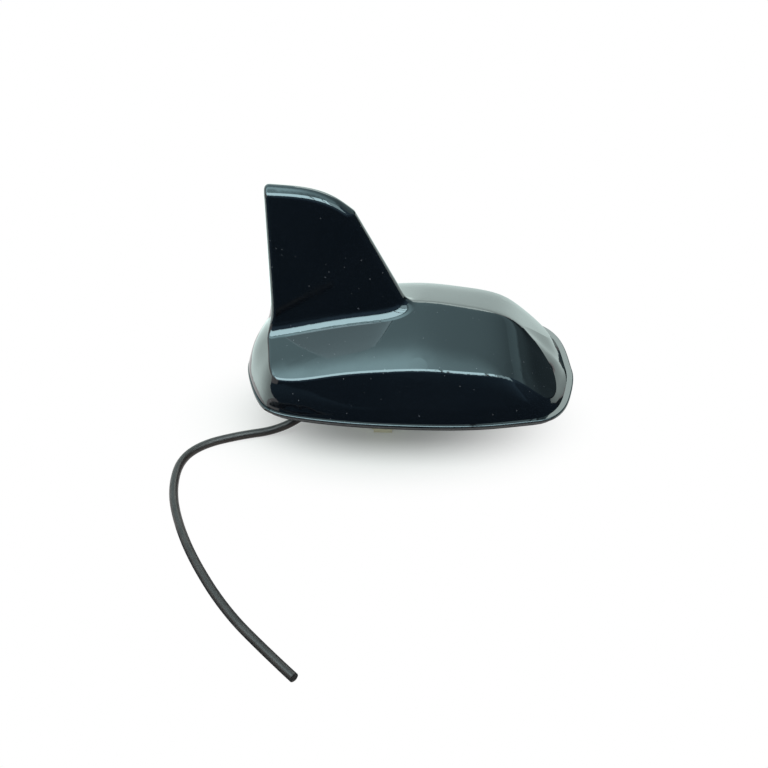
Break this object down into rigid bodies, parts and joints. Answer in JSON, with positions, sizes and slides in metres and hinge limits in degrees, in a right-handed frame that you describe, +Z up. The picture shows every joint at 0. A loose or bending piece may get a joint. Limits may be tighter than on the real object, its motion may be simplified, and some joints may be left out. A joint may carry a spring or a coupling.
{
  "type": "roof antenna",
  "caption": "Fin-shaped car roof antenna for satellite positioning: a glossy dark cover on a sealed cast base, with a threaded stud, a nylon clip and a cut-off coaxial cable.",
  "frame": {"origin": "centre of the threaded stud's lower end, on the surface the antenna stands on", "axes": "+X towards the low nose, +Z up along the stud, towards the fin"},
  "size_m": [0.1374, 0.1584, 0.0922],
  "materials": {
    "black_paint": "gloss blue-black lacquer on moulded plastic",
    "cast_alloy": "satin die-cast surface",
    "rubber": "matt moulded rubber",
    "steel": "zinc plated",
    "board": "green solder mask",
    "ceramic": "fired dielectric",
    "brass": "tinned brass",
    "dark_plastic": "matt moulded plastic",
    "cable_jacket": "satin extruded sheath",
    "ivory_nylon": "natural nylon"
  },
  "bodies": {
    "root": {"outer_cover": "black_paint", "base_plate": "cast_alloy", "roof_gasket": "rubber", "cover_seal": "rubber", "mounting_stud": "cast_alloy", "cover_screws": "steel", "circuit_board": "board", "board_screws": "steel", "patch_pad": "rubber", "patch_ceramic": "ceramic", "patch_pin": "brass", "shield_can": "steel", "amplifier_chip": "dark_plastic", "filter_chip": "dark_plastic", "fin_radiator": "board", "radiator_holder": "dark_plastic", "holder_screws": "steel", "feed_strap": "brass", "gps_lead": "cable_jacket", "lead_clamp": "brass", "cable_grommet": "rubber", "gps_cable": "cable_jacket", "retaining_clip": "ivory_nylon"}
  },
  "joints": []
}
